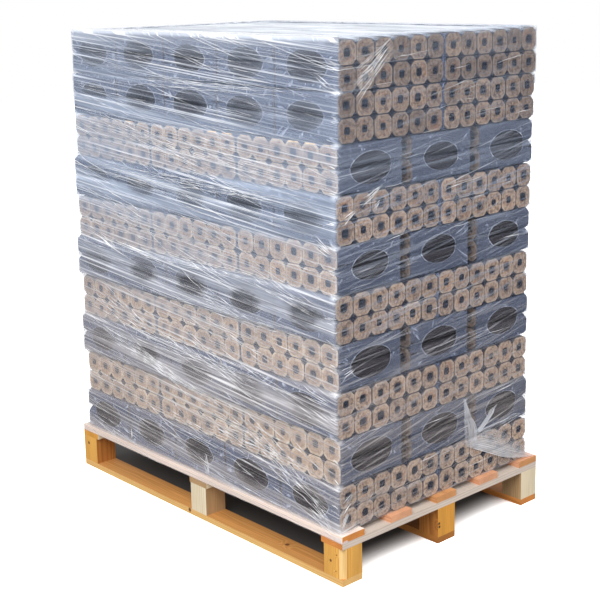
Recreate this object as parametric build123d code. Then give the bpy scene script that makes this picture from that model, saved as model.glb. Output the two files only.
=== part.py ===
from build123d import *
import math
import os

# A pallet load of pressed wood logs. Twelve hollow octagonal logs, six wide and two high, make a
# pack in a clear film sleeve. Ten layers of packs stand on a light pallet under a stretched film.
# Millimetres. The origin is on the floor under the middle of the pallet, +X runs along its long
# side, +Y along its short side and +Z up. The load stands towards the corner at +X and -Y.

# Pallet
pallet_length = 1200
pallet_width = 800
board_thickness = 18
deck_board_width = 80
deck_board_count = 5
stringer_board_width = 80
runner_width = 70  # the blocks and the bottom boards, across the pallet
block_length = 70
block_height = 84
corner_cut = 14  # sawn off the block at the corner where the load stands

# Logs
log_width = 63
log_height = 62
log_length = 228
log_corner = 12.5
bore_diameter = 23
bore_sides = 4  # each bore is a prism with the round bore's area, square to keep the facets few

# Packs in their sleeves
pack_columns = 6
pack_rows = 2
sleeve_film = 0.4
sleeve_play = 0.2  # between a sleeve and its logs, above them and beside them
oval_length = 140
oval_height = 80
oval_sides = 6

# Layers, numbered from the deck up
layer_count = 10
cross_layers = (2, 4, 6, 8)  # their logs lie across the pallet, the others' along it
long_packs = 5  # end to end in a layer of logs along the pallet
long_gap = 5
long_rows = 2
long_row_gap = 4
cross_packs = 3
cross_gap = 37
cross_rows = 3
cross_row_gap = 8
gap_wall = 3  # left between a cut gap and the outermost bores
load_setback_x = 18  # from the pallet's edges to the corner of the load nearest to them
load_setback_y = 12
layer_shift_y = (-3, 0, -7, -3, -9, -3, -2, 3, 8, 12)  # how unevenly the layers are stacked

# Films round the load
film_play = 0.3
top_sheet_film = 0.4
top_sheet_drop = 60
stretch_film = 0.5
stretch_film_fold = 90  # how far it is drawn in over the top

# Worked out from the sizes above
stringer_z = board_thickness + block_height
deck_z = stringer_z + board_thickness
pallet_height = deck_z + board_thickness
pack_width = pack_columns * log_width
pack_height = pack_rows * log_height
layer_height = pack_height + 2 * sleeve_film + sleeve_play
bore_step = 2 * math.pi / bore_sides
bore_radius = bore_diameter / 2 * math.sqrt(bore_step / math.sin(bore_step))  # to its corners
gap_depth = log_width / 2 - bore_radius * math.cos(bore_step / 2) - gap_wall
lowest_corner = (Align.MIN, Align.MIN, Align.MIN)


def box(x, y, z, length, width, height):
    """A block by its lowest corner and its size."""
    return Pos(x, y, z) * Box(length, width, height, align=lowest_corner)


def evenly(first, last, count):
    """Evenly spaced places from the first to the last."""
    return [first + i * (last - first) / (count - 1) for i in range(count)]


def write(name, solids):
    """One sub-part as one file."""
    export_step(Compound(solids), f"parts/{name}.step")


# Pallet


def make_boards():
    """The deck boards along the pallet, and the stringer boards across it that carry them."""
    edge_x = pallet_length / 2
    edge_y = pallet_width / 2
    for number, y in enumerate(evenly(-edge_y, edge_y - deck_board_width, deck_board_count), 1):
        board = box(-edge_x, y, deck_z, pallet_length, deck_board_width, board_thickness)
        write(f"deck_board_{number}", [board])
    for number, x in enumerate(evenly(-edge_x, edge_x - stringer_board_width, 3), 1):
        board = box(x, -edge_y, stringer_z, stringer_board_width, pallet_width, board_thickness)
        write(f"stringer_board_{number}", [board])


def make_runners():
    """Three bottom boards along the pallet, each with three blocks on it."""
    edge_x = pallet_length / 2
    edge_y = pallet_width / 2
    places_x = evenly(-edge_x, edge_x - block_length, 3)
    places_y = evenly(-edge_y, edge_y - runner_width, 3)
    for row, y in zip(("front", "middle", "back"), places_y):
        board = box(-edge_x, y, 0, pallet_length, runner_width, board_thickness)
        write(f"bottom_board_{row}", [board])
        for place, x in zip(("left", "middle", "right"), places_x):
            block = box(x, y, board_thickness, block_length, runner_width, block_height)
            if (row, place) == ("front", "right"):
                outer_edge = block.edges().filter_by(Axis.Z).sort_by(Axis((0, 0, 0), (1, -1, 0)))[-1]
                block = chamfer(outer_edge, corner_cut)
            write(f"block_{row}_{place}", [block])


# Logs, packs and layers


def pack_section(grooves_above, grooves_below):
    """The ends of one pack's logs, octagonal with a bore, standing on y = 0."""
    places = GridLocations(log_width, log_height, pack_columns, pack_rows)
    log = chamfer(Rectangle(log_width, log_height).vertices(), log_corner)
    bore = RegularPolygon(bore_radius, bore_sides, rotation=180 / bore_sides)
    section = Sketch() + [place * log for place in places]
    section -= [place * bore for place in places]
    # Where the next layer lies crosswise its film bridges the grooves, and they are closed.
    closed = Rectangle((pack_columns - 1) * log_width, log_corner)
    if not grooves_above:
        section += Pos(0, (pack_height - log_corner) / 2) * closed
    if not grooves_below:
        section += Pos(0, (log_corner - pack_height) / 2) * closed
    return Pos(0, pack_height / 2) * section


def log_row(packs, gap, section, cut_sides):
    """Packs end to end along x, fused, with the gaps between them cut into the sides that show."""
    length = packs * log_length + (packs - 1) * gap
    row = extrude(Plane.YZ * section, length / 2, both=True)
    cut = Box(gap, 2 * gap_depth, pack_height, align=(Align.CENTER, Align.CENTER, Align.MIN))
    for side in cut_sides:
        for i in range(packs - 1):
            x = -length / 2 + (i + 1) * log_length + (i + 0.5) * gap
            row -= Pos(x, side * pack_width / 2, 0) * cut
    return row


def sleeve(width):
    """The film round packs side by side, with an oval left open beside the outermost logs."""
    room = sleeve_film + sleeve_play
    outer = Rectangle(width + 2 * room, layer_height)
    inner = Rectangle(width + 2 * sleeve_play, layer_height - 2 * sleeve_film)
    tube = extrude(Plane.YZ * (outer - inner), log_length / 2, both=True)
    turns = [2 * math.pi * i / oval_sides for i in range(oval_sides)]
    rim = [(oval_length / 2 * math.cos(t), oval_height / 2 * math.sin(t)) for t in turns]
    opening = extrude(Plane.XZ * make_face(Polyline(*rim, close=True)), width, both=True)
    return Pos(0, 0, layer_height / 2) * (tube - opening)


def layer_box(number):
    """A layer's middle in plan, its underside, and its logs' extent along and across the pallet."""
    if number in cross_layers:
        size_x = cross_rows * pack_width + (cross_rows - 1) * cross_row_gap
        size_y = cross_packs * log_length + (cross_packs - 1) * cross_gap
    else:
        size_x = long_packs * log_length + (long_packs - 1) * long_gap
        size_y = long_rows * pack_width + (long_rows - 1) * long_row_gap
    x = pallet_length / 2 - load_setback_x - size_x / 2
    y = load_setback_y - pallet_width / 2 + size_y / 2 + layer_shift_y[number - 1]
    z = pallet_height + (number - 1) * layer_height
    return x, y, z, size_x, size_y


def make_layer(number):
    """One layer's packs as fused rows, and the sleeves round them."""
    x, y, z, size_x, size_y = layer_box(number)
    crossed = number in cross_layers
    if crossed:
        rows, row_gap, packs, gap, width = cross_rows, cross_row_gap, cross_packs, cross_gap, size_x
    else:
        rows, row_gap, packs, gap, width = long_rows, long_row_gap, long_packs, long_gap, size_y
    place = Pos(x, y, z) * Rot(Z=90 if crossed else 0)

    free_above = number == layer_count or (number + 1 in cross_layers) == crossed
    free_below = number == 1 or (number - 1 in cross_layers) == crossed
    section = pack_section(free_above, free_below)
    last = (rows - 1) * (pack_width + row_gap) / 2
    logs = []
    for row, across in enumerate(evenly(-last, last, rows)):
        # The narrow gaps between packs along the pallet stay closed, as film hides them.
        cut_sides = [side for side, outermost in ((-1, 0), (1, rows - 1)) if crossed and row == outermost]
        logs.append(place * Pos(0, across, sleeve_film) * log_row(packs, gap, section, cut_sides))
    write(f"logs_layer_{number:02d}", logs)

    last = (packs - 1) * (log_length + gap) / 2
    around = sleeve(width)
    sleeves = [place * Pos(along, 0, 0) * around for along in evenly(-last, last, packs)]
    write(f"sleeves_layer_{number:02d}", sleeves)


# Films round the load


def film_tube(low, high, film):
    """An upright tube of film round a box, and its outline, in place."""
    middle = Pos((low[0] + high[0]) / 2, (low[1] + high[1]) / 2, low[2])
    inner = Rectangle(high[0] - low[0], high[1] - low[1])
    outer = Rectangle(high[0] - low[0] + 2 * film, high[1] - low[1] + 2 * film)
    return extrude(middle * (outer - inner), high[2] - low[2]), outer


def around(boxes, room):
    """The lowest and highest corners in plan of some layers, with room all round."""
    low = [min(b[axis] - b[axis + 3] / 2 for b in boxes) - room for axis in (0, 1)]
    high = [max(b[axis] + b[axis + 3] / 2 for b in boxes) + room for axis in (0, 1)]
    return low, high


def make_films():
    """The sheet over the top layer, and the stretched film round all layers and over the sheet."""
    boxes = [layer_box(number) for number in range(1, layer_count + 1)]
    top_z = boxes[-1][2] + layer_height
    sheet_room = sleeve_play + sleeve_film + film_play
    low, high = around(boxes[-1:], sheet_room)
    sides, outline = film_tube((*low, top_z - top_sheet_drop), (*high, top_z), top_sheet_film)
    middle = Pos((low[0] + high[0]) / 2, (low[1] + high[1]) / 2, top_z)
    write("top_sheet", [sides + extrude(middle * outline, top_sheet_film)])

    low, high = around(boxes, sheet_room + top_sheet_film + film_play)
    fold_z = top_z + top_sheet_film
    sides, outline = film_tube((*low, pallet_height), (*high, fold_z), stretch_film)
    middle = Pos((low[0] + high[0]) / 2, (low[1] + high[1]) / 2, fold_z)
    open_top = Rectangle(high[0] - low[0] - 2 * stretch_film_fold, high[1] - low[1] - 2 * stretch_film_fold)
    write("stretch_film", [sides + extrude(middle * (outline - open_top), stretch_film)])


os.makedirs("parts", exist_ok=True)
make_boards()
make_runners()
for layer in range(1, layer_count + 1):
    make_layer(layer)
make_films()
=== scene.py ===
import math
import random
from functools import partial

import bpy
import numpy as np
from mathutils import Matrix, Vector, noise


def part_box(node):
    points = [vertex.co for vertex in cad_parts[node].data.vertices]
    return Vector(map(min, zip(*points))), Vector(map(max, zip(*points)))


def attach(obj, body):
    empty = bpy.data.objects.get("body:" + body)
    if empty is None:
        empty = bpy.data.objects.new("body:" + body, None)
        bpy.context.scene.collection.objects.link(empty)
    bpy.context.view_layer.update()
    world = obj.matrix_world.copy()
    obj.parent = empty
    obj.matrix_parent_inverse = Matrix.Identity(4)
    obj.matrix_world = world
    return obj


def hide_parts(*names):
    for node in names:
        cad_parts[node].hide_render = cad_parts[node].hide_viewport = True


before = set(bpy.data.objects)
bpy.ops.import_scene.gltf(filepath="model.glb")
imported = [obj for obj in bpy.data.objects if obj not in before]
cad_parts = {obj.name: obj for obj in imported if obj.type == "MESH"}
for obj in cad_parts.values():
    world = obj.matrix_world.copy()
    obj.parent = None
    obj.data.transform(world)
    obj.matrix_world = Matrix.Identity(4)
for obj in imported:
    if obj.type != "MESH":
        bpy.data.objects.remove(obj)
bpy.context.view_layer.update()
print("frame loaded,", len(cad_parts), "nodes")


# Small helpers

def toLinear(hexText):
    parts = [int(hexText[i:i + 2], 16) / 255 for i in (1, 3, 5)]
    return (*[p / 12.92 if p <= 0.04045 else ((p + 0.055) / 1.055) ** 2.4 for p in parts], 1.0)


def addNode(tree, kind, inputs=None, **settings):
    # a node with its settings; an input takes a value, a hex colour, a link or another node's first result
    node = tree.nodes.new("ShaderNode" + kind)
    for name, value in settings.items():
        setattr(node, name, value)
    for name, value in (inputs or {}).items():
        if isinstance(value, bpy.types.Node):
            value = next(output for output in value.outputs if output.enabled)
        if isinstance(value, bpy.types.NodeSocket):
            tree.links.new(value, node.inputs[name])
        else:
            node.inputs[name].default_value = toLinear(value) if isinstance(value, str) else value
    return node


def newMaterial(name):
    # an empty material, and addNode for its tree
    material = bpy.data.materials.new(name)
    material.use_nodes = True
    material.node_tree.nodes.clear()
    return material, partial(addNode, material.node_tree)


def makePiece(name, points, faces, materials, slots=None, smooth=True, attributes=None):
    mesh = bpy.data.meshes.new(name)
    mesh.from_pydata(np.asarray(points, float).tolist(), [], np.asarray(faces, int).tolist())
    for material in materials:
        mesh.materials.append(material)
    if slots is not None:
        mesh.polygons.foreach_set("material_index", np.asarray(slots, np.int32))
    mesh.polygons.foreach_set("use_smooth", np.full(len(mesh.polygons), smooth))
    for label, values in (attributes or {}).items():
        layer = mesh.attributes.new(label, "FLOAT_VECTOR", "POINT")
        layer.data.foreach_set("vector", np.asarray(values, np.float32).ravel())
    mesh.update()
    piece = bpy.data.objects.new(name, mesh)
    bpy.context.scene.collection.objects.link(piece)
    return piece


def joinLoad(piece, node=None):
    # part of the load, attached to the root body, and standing for a node where one is named
    if node:
        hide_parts(node)
    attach(piece, "root")
    return piece


def gridFaces(rows, columns, first=0, closed=False, ring=False):
    # quads between neighbouring points, on to the first column where closed and to the first row in a ring
    row, column = np.meshgrid(np.arange(rows - (not ring)), np.arange(columns - (not closed)), indexing="ij")
    corners = [(row + below) % rows * columns + (column + beside) % columns
               for below, beside in ((0, 0), (0, 1), (1, 1), (1, 0))]
    return first + np.stack(corners, -1).reshape(-1, 4)


def smoothStep(low, high, value):
    share = np.clip((np.asarray(value, float) - low) / (high - low), 0, 1)
    return share * share * (3 - 2 * share)


def near(value, centre, reach):
    return np.exp(-((value - centre) / reach) ** 2)


# Camera, light and ground

camera = {
    "lens": 75.8,
    "azimuth": 47.93,
    "elevation": 12.45,
    "roll": -1.14,
    "place": (2.7536, -2.47, 1.5365),
    "shiftY": -0.075,  # the photo is cut from a taller one
}


def makeCamera():
    azimuth, elevation, roll = (math.radians(camera[key]) for key in ("azimuth", "elevation", "roll"))
    back = Vector((math.sin(azimuth) * math.cos(elevation), -math.cos(azimuth) * math.cos(elevation),
                   math.sin(elevation)))
    right = Vector((math.cos(azimuth), math.sin(azimuth), 0))
    up = back.cross(right)
    turned = Matrix((math.cos(roll) * right + math.sin(roll) * up,
                     math.cos(roll) * up - math.sin(roll) * right, back)).transposed()
    lens = bpy.data.cameras.new("camera")
    lens.lens = camera["lens"]
    lens.shift_y = camera["shiftY"]
    lens.clip_end = 100
    holder = bpy.data.objects.new("camera", lens)
    holder.matrix_world = Matrix.Translation(camera["place"]) @ turned.to_4x4()
    bpy.context.scene.collection.objects.link(holder)
    bpy.context.scene.camera = holder


light = {
    "ambient": 1.0,  # even light from all round
    "keyPower": 230,  # watts, one large soft lamp above the camera
    "keySize": 3.2,
    "keyPlace": (2.6, -3.4, 4.2),
    "keyTarget": (0, 0, 0.6),
}


def makeLight():
    world = bpy.data.worlds.new("white studio")
    bpy.context.scene.world = world
    world.use_nodes = True
    world.node_tree.nodes.clear()
    add = partial(addNode, world.node_tree)
    path = add("LightPath").outputs
    seen = add("Math", {0: path["Is Camera Ray"], 1: path["Is Glossy Ray"]}, operation="MAXIMUM")
    seen = add("Math", {0: seen, 1: path["Is Transmission Ray"]}, operation="MAXIMUM")
    lit = add("Background", {"Color": "#ffffff", "Strength": light["ambient"]})
    shown = add("Background", {"Color": "#ffffff", "Strength": 1.0})
    both = add("MixShader", {0: seen, 1: lit, 2: shown})
    add("OutputWorld", {"Surface": both})

    lamp = bpy.data.lights.new("key", "AREA")
    lamp.energy = light["keyPower"]
    lamp.size = light["keySize"]
    holder = bpy.data.objects.new("key", lamp)
    holder.location = Vector(light["keyPlace"])
    holder.rotation_euler = (holder.location - Vector(light["keyTarget"])).to_track_quat("Z", "Y").to_euler()
    bpy.context.scene.collection.objects.link(holder)


ground = {
    "size": 24.0,
    "drop": 0.0005,  # keeps it just clear of the pallet's underside
    "gain": 2.3,  # overexposed where the camera sees it, so that only the deep shadow is left, most of it the painted shadow
    "lighting": "#8c8c8c",  # what it throws back on the pallet, as a floor of mid grey would
    "dark": 0.05,  # painted shadow: what is left of that under the pallet and in the lee of the lamp
    # the painted shadow, from where each of its soft edges starts to where it is full
    "edgeX": (0.585, 0.46),
    "edgeY": (-0.36, -0.31),
    "edgeAside": (0.705, 0.665),
    "edgeBehind": (0.95, 0.57),
}


def makeGround():
    # a matt painted board, white where the camera sees it, with a shadow also painted into its colour under
    # the pallet and in the lee of the lamp
    material, add = newMaterial("matt painted board, shadow painted in")
    place = add("NewGeometry").outputs["Position"]
    parts = add("SeparateXYZ", {0: place}).outputs
    azimuth = math.radians(camera["azimuth"])
    aside, behind = (add("VectorMath", {0: place, 1: way}, operation="DOT_PRODUCT") for way in (
        (math.cos(azimuth), math.sin(azimuth), 0), (-math.sin(azimuth), math.cos(azimuth), 0)))
    aside = add("Math", {0: aside}, operation="ABSOLUTE")
    # painted shadow: the colour the camera sees is darkened by place, under the pallet and behind the load
    level = 1.0
    for value, key in zip((*parts[:2], aside, behind), ("edgeX", "edgeY", "edgeAside", "edgeBehind")):
        start, end = ground[key]
        edge = add("MapRange", {0: value, 1: start, 2: end}, interpolation_type="SMOOTHSTEP")
        level = add("Math", {0: edge, 1: level}, operation="MULTIPLY")
    level = add("MapRange", {0: level, 3: ground["gain"], 4: ground["gain"] * ground["dark"]})
    shown = add("BsdfDiffuse", {"Color": level})
    thrown = add("BsdfDiffuse", {"Color": ground["lighting"]})
    seen = add("LightPath").outputs["Is Camera Ray"]
    add("OutputMaterial", {"Surface": add("MixShader", {0: seen, 1: thrown, 2: shown})})
    half, z = ground["size"] / 2, -ground["drop"]
    corners = [(-half, -half, z), (half, -half, z), (half, half, z), (-half, half, z)]
    makePiece("floor", corners, [(0, 1, 2, 3)], [material], smooth=False)


bpy.context.scene.view_settings.view_transform = "Standard"
makeCamera()
makeLight()
makeGround()
print("camera, light and ground made")


# Pressed wood logs

logs = {
    "width": 0.063,
    "height": 0.062,
    "length": 0.228,
    "columns": 6,
    "rows": 2,
    "corner": 0.0125,  # cut off the four corners of the section
    "rounding": 0.002,
    "bore": 0.0215,
    "boreSpread": 0.13,
    "boreSquare": 2.8,  # 2 is round, more is squarer
    "chamfer": 0.0014,  # crumbled round the ends
    "uneven": 0.0005,  # how far an outline is worn in
    "turn": 1.3,  # degrees, either way
    "turnRoom": 0.35,  # how much a turned log shrinks, to keep to its place
    "endPlay": 0.003,  # logs of a pack end this unevenly
    "rowsAndPacks": (2, 5),  # in a layer of logs along the pallet
    "crossRowsAndPacks": (3, 3),
    "crossLayers": (2, 4, 6, 8),
    "toneSpread": 0.35,
    "layerTone": (0.95, 1.2, 0.9, 1.2, 0.6, 1.2, 0.55, 1.2, -0.05, -0.2),  # darker ends higher up
    "gapPaintedShade": -0.9,  # painted shade: less light gets in between the packs
    # rim is the least and the most of the paler rim, skin the darker outermost edge: seared wood, with
    # painted shade from the gap between the logs
    "end": {"wood": "#c0a58b", "dark": "#6f5747", "orange": "#b6815a", "pale": "#c8b5a2", "char": "#3d2d24",
            "rim": (0.05, 0.7), "warmth": 0.75, "skinAndGapShade": 0.75},
    "endAcross": {"wood": "#c8ab8c", "dark": "#94785f", "orange": "#bd8f67", "pale": "#ebdac2",
                  "char": "#85705d", "rim": (0.14, 0.85), "warmth": 0.4, "skinAndGapShade": 0.35},
    # the bore darker and bluer than the seared outside: painted shade down the deep hole
    "side": {"char": "#1c1a23", "brown": "#352e35", "bore": "#1b1d26"},
}
layerNumbers = range(1, 11)
upward = np.array((0.0, 0.0, 1.0))


def makeLogEndMaterial(name, look):
    # sawdust pressed hot and broken across: matt tan crumbs, a paler rim, a seared ring round the bore
    material, add = newMaterial(name)
    section, tone = (
        add("SeparateXYZ", {0: add("Attribute", attribute_name=label).outputs["Vector"]}).outputs
        for label in ("section", "tone"))
    place = add("NewGeometry").outputs["Position"]
    crumbs = add("TexNoise", {"Vector": place, "Scale": 1 / 0.0075, "Detail": 4.0,
                              "Roughness": 0.8})  # 7.5 mm, the largest chips
    patches = add("TexNoise", {"Vector": place, "Scale": 1 / 0.022, "Detail": 2.0})
    wobble = add("Math", {0: crumbs, 1: 0.16, 2: -0.08}, operation="MULTIPLY_ADD")
    radius = add("Math", {0: section[2], 1: wobble}, operation="ADD")  # 0 at the bore, 1 outside
    shares = []
    for value, start, end, least, most, factor in (
            (patches, 0.54, 0.72, 0, look["warmth"], tone[0]),
            (radius, 0.6, 0.92, 0, 1, add("MapRange", {0: patches, 1: 0.38, 2: 0.62, 3: look["rim"][0],
                                                       4: look["rim"][1]})),
            (radius, 0.02, 0.3, 1, 0, tone[1]),
            # the darker outermost edge: seared wood, and painted shade from the gap between the logs
            (section[2], 0.97, 1.0, 0, look["skinAndGapShade"], 1.0)):
        share = add("MapRange", {0: value, 1: start, 2: end, 3: least, 4: most})
        shares.append(add("Math", {0: share, 1: factor}, operation="MULTIPLY"))
    wood = add("MapRange", {0: crumbs, 1: 0.4, 2: 0.58})
    wood = add("Mix", {"Factor": wood, "A": look["dark"], "B": look["wood"]}, data_type="RGBA")
    for share, colour in zip(shares, ("orange", "pale", "char", "char")):
        wood = add("Mix", {"Factor": share, "A": wood, "B": look[colour]}, data_type="RGBA")
    shade = add("MapRange", {0: tone[2], 1: -0.4, 2: 1.4, 3: 0.48, 4: 1.26})
    wood = add("VectorMath", {0: wood, "Scale": shade}, operation="SCALE")
    bump = add("Bump", {"Height": crumbs, "Strength": 0.7, "Distance": 0.0012})
    shader = add("BsdfPrincipled", {"Base Color": wood, "Roughness": 0.85, "IOR": 1.45, "Normal": bump})
    add("OutputMaterial", {"Surface": shader})
    return material


def makeLogSideMaterial():
    # sawdust seared by the hot press: nearly black, faintly glazed, with drawn lines along the log, its bore
    # darker still as painted shade
    look = logs["side"]
    material, add = newMaterial("pressed sawdust, seared")
    section = add("Attribute", attribute_name="section").outputs["Vector"]
    lines = add("VectorMath", {0: section, 1: (9.0, 9.0, 14.0)},
                operation="MULTIPLY")  # 3.5 mm across the log
    drawn = add("TexNoise", {"Vector": lines, "Scale": 1.0, "Detail": 3.0})
    tint = add("MapRange", {0: drawn, 1: 0.42, 2: 0.72})
    colour = add("Mix", {"Factor": tint, "A": look["char"], "B": look["brown"]}, data_type="RGBA")
    # painted shade: the bore's seared wall taken to the darker bore colour
    outside = add("SeparateXYZ", {0: section}).outputs[2]
    colour = add("Mix", {"Factor": outside, "A": look["bore"], "B": colour}, data_type="RGBA")
    bump = add("Bump", {"Height": drawn, "Strength": 0.6, "Distance": 0.001})
    shader = add("BsdfPrincipled", {"Base Color": colour, "Roughness": 0.55, "IOR": 1.5,
                                    "Specular IOR Level": 0.25, "Normal": bump})
    add("OutputMaterial", {"Surface": shader})
    return material


def logOutline():
    # the octagonal section with each of its eight edges rounded by two points
    halfWidth, halfHeight, cut = logs["width"] / 2, logs["height"] / 2, logs["corner"]
    quarter = [(halfWidth, halfHeight - cut), (halfWidth - cut, halfHeight)]
    quarters = ((1, 1, 1), (-1, 1, -1), (-1, -1, 1), (1, -1, -1))
    corners = [np.array((x * sx, y * sy)) for sx, sy, flip in quarters for x, y in quarter[::flip]]
    points = []
    for i, corner in enumerate(corners):
        for other in (corners[i - 1], corners[(i + 1) % 8]):
            points.append(corner + (other - corner) / np.linalg.norm(other - corner) * logs["rounding"])
    return np.array(points)


def logTemplate():
    # rings of points from one end's bore over the outside to the other end's, as length and section
    outline = logOutline()
    count = len(outline)
    angles = np.arctan2(outline[:, 1], outline[:, 0])
    power = logs["boreSquare"]
    square = np.abs(np.cos(angles)) ** power + np.abs(np.sin(angles)) ** power
    radius = logs["bore"] / 2 / square ** (1 / power)
    bore = np.stack([radius * np.cos(angles), radius * np.sin(angles)], -1)
    inward = outline * (1 - logs["chamfer"] / np.linalg.norm(outline, axis=1, keepdims=True))
    edge = bore * (1 + logs["chamfer"] / logs["bore"])
    half, step = logs["length"] / 2, logs["chamfer"]
    rings = [(bore, half - step, 1), (edge, half, 1), (inward, half, 0), (outline, half - step, 0)]
    rings += [(ring, -along, isBore) for ring, along, isBore in rings[::-1]]
    points = np.array([(along, a, b) for ring, along, isBore in rings for a, b in ring])
    isBore = np.repeat([flag for ring, along, flag in rings], count)
    isEnd = np.repeat([1, 1, 1, 0, 1, 1, 1, 0], count)
    return points, isBore, gridFaces(len(rings), count, closed=True, ring=True)[:, ::-1], isEnd


def layerPlan(number):
    # how a layer's packs lie: its directions, its packs' middles, and whether its logs cross the pallet
    low, high = (np.array(corner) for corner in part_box(f"logs_layer_{number:02d}"))
    crossed = number in logs["crossLayers"]
    along, across = np.array(((0, 1, 0), (-1, 0, 0)) if crossed else ((1, 0, 0), (0, 1, 0)), float)
    rows, packs = logs["crossRowsAndPacks" if crossed else "rowsAndPacks"]
    stepAlong = (abs(along @ (high - low)) - logs["length"]) / (packs - 1)
    stepAcross = (abs(across @ (high - low)) - logs["columns"] * logs["width"]) / (rows - 1)
    middles = [(low + high) / 2 + along * stepAlong * (i - (packs - 1) / 2)
               + across * stepAcross * (j - (rows - 1) / 2) for j in range(rows) for i in range(packs)]
    return along, across, middles, crossed


def makeLogs(number, materials):
    rng = random.Random(700 + number)
    template, isBore, quads, isEnd = logTemplate()
    outlinePoints = len(logOutline())
    along, across, middles, crossed = layerPlan(number)
    packs = logs["crossRowsAndPacks" if crossed else "rowsAndPacks"][1]
    atFarEnd, faceAtFarEnd = template[:, 0] > 0, template[quads[:, 0], 0] > 0
    section = np.stack([template[:, 1] / (logs["width"] / 2), template[:, 2] / (logs["height"] / 2),
                        1.0 - isBore], -1)
    points, faces, slots, tones = [], [], [], []
    places = [(index % packs, middle, row, column) for index, middle in enumerate(middles)
              for row in range(logs["rows"]) for column in range(logs["columns"])]
    for pack, middle, row, column in places:
        worn = 1 - logs["uneven"] / logs["width"] * 2 * np.array([rng.random() for _ in range(outlinePoints)])
        bored = 1 + logs["boreSpread"] * rng.uniform(-1, 1)
        turn = math.radians(rng.uniform(-1, 1) * logs["turn"])
        ends = [rng.random() ** 2 * logs["endPlay"] for _ in range(2)]
        tone = (rng.random(), rng.random() ** 1.5,
                rng.uniform(-1, 1) * logs["toneSpread"] + logs["layerTone"][number - 1])
        shape = template.copy()
        shape[:, 1:] *= np.where(isBore, bored, np.tile(worn, len(shape) // outlinePoints))[:, None]
        shape[:, 1:] @= np.array(((math.cos(turn), math.sin(turn)), (-math.sin(turn), math.cos(turn))))
        shape[:, 1:] *= 1 - abs(turn) * logs["turnRoom"]
        shape[:, 0] -= np.where(atFarEnd, ends[0], -ends[1])
        shape[:, 1] += (column - (logs["columns"] - 1) / 2) * logs["width"]
        shape[:, 2] += (row - (logs["rows"] - 1) / 2) * logs["height"]
        faces.append(quads + len(points) * len(template))
        points.append(middle + shape @ np.stack([along, across, upward]))
        # painted shade on the ends that face a neighbouring pack across a gap
        inGap = np.where(atFarEnd, pack < packs - 1, pack > 0)
        tones.append(np.tile(tone, (len(template), 1)))
        tones[-1][inGap, 2] = logs["gapPaintedShade"]
        # first the ends, then the sides, then the crosswise logs' ends that face the load's own sides
        outward = crossed & np.where(faceAtFarEnd, pack == packs - 1, pack == 0)
        slots.append(np.where(isEnd == 1, np.where(outward, 2, 0), 1))
    piece = makePiece(f"pressed_logs_{number:02d}", np.concatenate(points), np.concatenate(faces), materials,
                      np.concatenate(slots), smooth=False,
                      attributes={"section": np.tile(section, (len(points), 1)),
                                  "tone": np.concatenate(tones)})
    joinLoad(piece, f"logs_layer_{number:02d}")


logMaterials = [
    makeLogEndMaterial("pressed sawdust, broken across", logs["end"]),
    makeLogSideMaterial(),
    makeLogEndMaterial("pressed sawdust, broken across, film clinging to the rim", logs["endAcross"]),
]
for layer in layerNumbers:
    makeLogs(layer, logMaterials)
print("pressed logs made")


# Shrink sleeves round the packs

sleeves = {
    "clear": 0.0004,  # beyond the logs
    "edge": 0.002,  # rounding over the log ends
    "slope": 0.005,  # the film cuts the corner over the log's sawn edge
    "slopeBack": 0.009,
    "ovalLength": 0.14,
    "ovalHeight": 0.08,
    "ovalSpread": 0.08,
    "ovalShift": (0.005, 0.003),
    "ovalLean": 0.06,
    "valley": 0.0025,  # drawn in between the two rows of logs
    "valleyBack": 0.008,
    "valleyReach": 0.011,
    "bead": 0.0009,  # the rolled rim of the oval
    "wrinkle": 0.0006,
    "rings": (0.0, 0.16, 0.4, 0.68, 0.9, 1.0),  # of points, from the pack's edge to the oval's rim
    "hoops": (0.62, 0.22),  # of points round the pack, as shares of its half width
    "colour": "#93a4ca",
    "rimColour": "#f2f4fa",
    "haze": 0.23,
    "frontShare": 1.7,  # more of it on the side that shows at the front, a painted reflection of the sky over the film's own bloom
    "groove": 0.002,  # drawn in between the logs of the top layer
    "grooveWidth": 0.007,
    "grooveAtEnd": 0.0085,
    "grooveRun": 0.04,
}


def makeSleeveMaterial():
    # polyethylene film shrunk in a hot tunnel: clear with a blue grey bloom, white where it gathers
    material, add = newMaterial("polyethylene film, shrunk")
    film = add("Attribute", attribute_name="film").outputs["Vector"]
    parts = add("SeparateXYZ", {0: film}).outputs  # share of the way to the rim, angle, share of the bloom
    spokes = add("VectorMath", {0: film, 1: (1.0, 2.6, 0.0)}, operation="MULTIPLY")
    drawn = add("TexNoise", {"Vector": spokes, "Scale": 1.0, "Detail": 3.0, "Distortion": 0.6})
    ridge = add("MapRange", {0: drawn, 1: 0.59, 2: 0.72, 4: 0.36})
    ridge = add("Math", {0: ridge, 1: parts[2]}, operation="MULTIPLY")
    rim = add("MapRange", {0: parts[0], 1: 0.94, 2: 0.99})
    broken = add("MapRange", {0: drawn, 1: 0.4, 2: 0.62, 3: 0.25, 4: 0.6})
    alpha = add("Math", {0: rim, 1: broken, 2: ridge}, operation="MULTIPLY_ADD")
    colour = add("Mix", {"Factor": alpha, "A": sleeves["colour"], "B": sleeves["rimColour"]},
                 data_type="RGBA")
    bloom = add("MapRange", {0: parts[2], 3: sleeves["haze"] * 0.3, 4: sleeves["haze"]}, clamp=False)
    alpha = add("Math", {0: alpha, 1: bloom}, operation="ADD", use_clamp=True)
    shader = add("BsdfPrincipled", {"Base Color": colour, "Roughness": 0.25, "IOR": 1.5, "Alpha": alpha})
    add("OutputMaterial", {"Surface": shader})
    return material


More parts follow.
